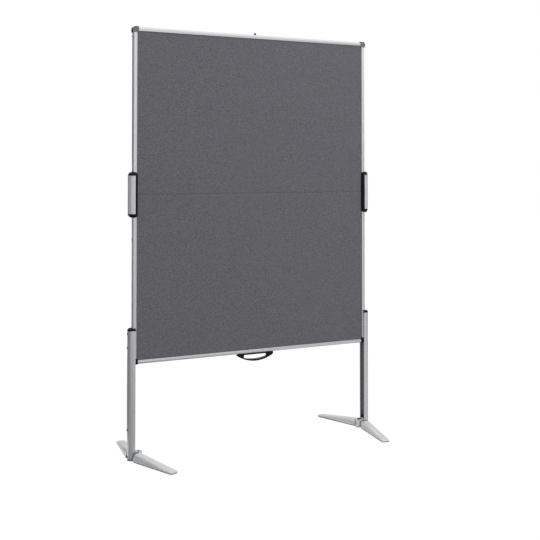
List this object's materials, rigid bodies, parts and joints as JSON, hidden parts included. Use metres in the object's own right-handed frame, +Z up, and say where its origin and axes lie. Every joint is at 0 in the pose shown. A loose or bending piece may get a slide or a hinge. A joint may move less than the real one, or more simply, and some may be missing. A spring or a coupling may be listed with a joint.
{
  "type": "folding mobile pinboard",
  "caption": "Free-standing felt pinboard in a silver frame that folds at mid-height, on slide-up legs with swing-out feet, with locking sleeves and a carry handle",
  "frame": {"origin": "On the floor, below the middle of the board and in the centre plane of its frame, which is the middle of the bounding box's bottom face", "axes": "+Z up, +X to the right as seen from the front, and the board's front felt faces -Y"},
  "size_m": [1.243, 0.5441, 1.9283],
  "materials": {
    "silver": "satin anodised",
    "cast": "silver-grey lacquered casting",
    "black": "fine-grained moulding",
    "grey_cap": "fine-grained moulding",
    "felt": "needled felt",
    "core": "soft fibreboard",
    "steel": "zinc plated",
    "rubber": "matt"
  },
  "bodies": {
    "lower_half": {"lower_core_panel": "core", "lower_front_felt": "felt", "lower_rear_felt": "felt", "lower_rail_left": "silver", "lower_rail_right": "silver", "bottom_rail": "silver", "bottom_corner_cap_left": "black", "bottom_corner_cap_right": "black", "carry_handle": "black", "lower_hinge_leaf_left": "steel", "lower_hinge_leaf_right": "steel", "hinge_pin_left": "steel", "hinge_pin_right": "steel"},
    "upper_half": {"upper_core_panel": "core", "upper_front_felt": "felt", "upper_rear_felt": "felt", "upper_rail_left": "silver", "upper_rail_right": "silver", "top_rail": "silver", "top_corner_cap_left": "grey_cap", "top_corner_cap_right": "grey_cap", "rail_screw_left": "black", "rail_screw_right": "black", "catch_stud": "black", "upper_hinge_leaf_left": "steel", "upper_hinge_leaf_right": "steel"},
    "sleeve_left": {"sleeve_shell_left": "silver", "sleeve_guide_left": "black", "sleeve_top_cap_left": "black", "sleeve_bottom_cap_left": "black"},
    "sleeve_right": {"sleeve_shell_right": "silver", "sleeve_guide_right": "black", "sleeve_top_cap_right": "black", "sleeve_bottom_cap_right": "black"},
    "leg_left": {"leg_channel_left": "silver", "leg_guide_left": "black", "leg_top_cap_left": "black", "clamp_screw_lower_left": "black", "clamp_screw_upper_left": "black", "leg_bottom_glide_left": "rubber", "foot_bracket_left": "cast", "pivot_pin_left": "steel"},
    "leg_right": {"leg_channel_right": "silver", "leg_guide_right": "black", "leg_top_cap_right": "black", "clamp_screw_lower_right": "black", "clamp_screw_upper_right": "black", "leg_bottom_glide_right": "rubber", "foot_bracket_right": "cast", "pivot_pin_right": "steel"},
    "front_foot_left": {"foot_front_left": "cast", "foot_front_left_sole": "rubber"},
    "rear_foot_left": {"foot_rear_left": "cast", "foot_rear_left_sole": "rubber"},
    "front_foot_right": {"foot_front_right": "cast", "foot_front_right_sole": "rubber"},
    "rear_foot_right": {"foot_rear_right": "cast", "foot_rear_right_sole": "rubber"}
  },
  "joints": [
    {"name": "board_fold", "type": "hinge", "parent": "lower_half", "child": "upper_half", "pos_m": [0, 0.0195, 1.169], "axis": [-1, 0, 0], "range_deg": [0, 180]},
    {"name": "sleeve_left_slide", "type": "slide", "parent": "upper_half", "child": "sleeve_left", "axis": [0, 0, 1], "range_m": [0, 0.105]},
    {"name": "sleeve_right_slide", "type": "slide", "parent": "upper_half", "child": "sleeve_right", "axis": [0, 0, 1], "range_m": [0, 0.105]},
    {"name": "leg_left_slide", "type": "slide", "parent": "lower_half", "child": "leg_left", "axis": [0, 0, 1], "range_m": [0, 0.365]},
    {"name": "leg_right_slide", "type": "slide", "parent": "lower_half", "child": "leg_right", "axis": [0, 0, 1], "range_m": [0, 0.365]},
    {"name": "front_foot_left_swing", "type": "hinge", "parent": "leg_left", "child": "front_foot_left", "pos_m": [-0.567, 0, 0], "axis": [0, 0, 1], "range_deg": [-21.5, 68.5]},
    {"name": "rear_foot_left_swing", "type": "hinge", "parent": "leg_left", "child": "rear_foot_left", "pos_m": [-0.567, 0, 0], "axis": [0, 0, -1], "range_deg": [-3.5, 86.5]},
    {"name": "front_foot_right_swing", "type": "hinge", "parent": "leg_right", "child": "front_foot_right", "pos_m": [0.567, 0, 0], "axis": [0, 0, -1], "range_deg": [-7, 83]},
    {"name": "rear_foot_right_swing", "type": "hinge", "parent": "leg_right", "child": "rear_foot_right", "pos_m": [0.567, 0, 0], "axis": [0, 0, 1], "range_deg": [-21.5, 68.5]}
  ]
}
